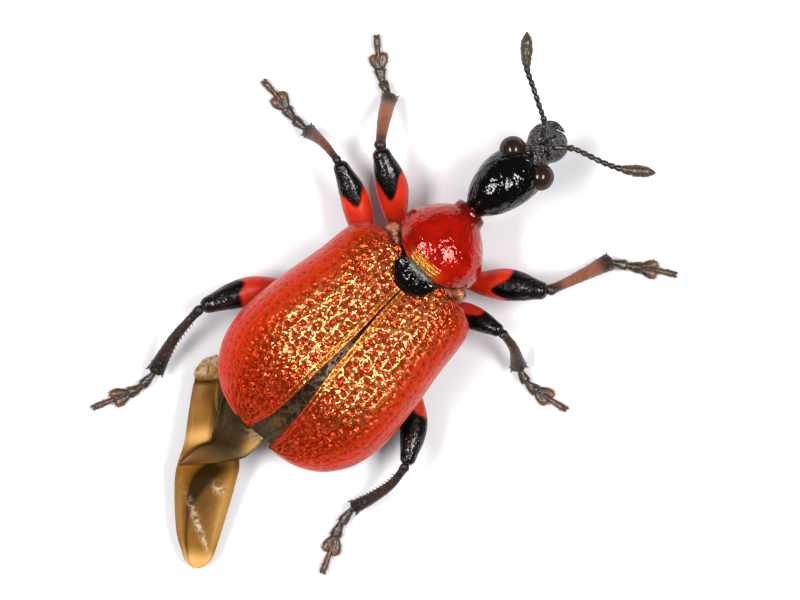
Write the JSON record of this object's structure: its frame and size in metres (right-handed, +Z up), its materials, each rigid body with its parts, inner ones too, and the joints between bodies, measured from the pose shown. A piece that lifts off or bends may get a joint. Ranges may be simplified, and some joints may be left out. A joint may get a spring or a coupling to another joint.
{
  "type": "hazel leaf-roller weevil model",
  "caption": "Life-size still model of a red leaf-rolling weevil with black head, spread legs, ribbed wing cases and a hind wing hanging out.",
  "frame": {"origin": "on the floor, below the middle of the whole model's box", "axes": "+Z up, the head towards -Y, the animal's left side towards +X"},
  "size_m": [0.0084, 0.0114, 0.0029],
  "materials": {
    "wing_case": "glossy red chitin with rows of dark pits",
    "pronotum": "glossy deep red chitin",
    "black_chitin": "polished black chitin",
    "eye": "dark brown, finely faceted, glossy",
    "body_chitin": "dark brown-red chitin, finely pitted",
    "femur_chitin": "glossy red with a black outer half",
    "leg_chitin": "dark, finely haired chitin",
    "wing_membrane": "thin brown membrane with a soft gloss"
  },
  "bodies": {
    "root": {"abdomen": "body_chitin", "antenna_left": "leg_chitin", "antenna_right": "leg_chitin", "elytron_left": "wing_case", "elytron_right": "wing_case", "eye_left": "eye", "eye_right": "eye", "front_leg_left_femur": "femur_chitin", "front_leg_left_tarsus": "leg_chitin", "front_leg_left_tibia": "leg_chitin", "front_leg_right_femur": "femur_chitin", "front_leg_right_tarsus": "leg_chitin", "front_leg_right_tibia": "leg_chitin", "head": "black_chitin", "hind_leg_left_femur": "femur_chitin", "hind_leg_left_tarsus": "leg_chitin", "hind_leg_left_tibia": "leg_chitin", "hind_leg_right_femur": "femur_chitin", "hind_leg_right_tarsus": "leg_chitin", "hind_leg_right_tibia": "leg_chitin", "hind_wing_left": "wing_membrane", "middle_leg_left_femur": "femur_chitin", "middle_leg_left_tarsus": "leg_chitin", "middle_leg_left_tibia": "leg_chitin", "middle_leg_right_femur": "femur_chitin", "middle_leg_right_tarsus": "leg_chitin", "middle_leg_right_tibia": "leg_chitin", "pronotum": "pronotum", "scutellum": "black_chitin", "thorax": "body_chitin"}
  },
  "joints": []
}
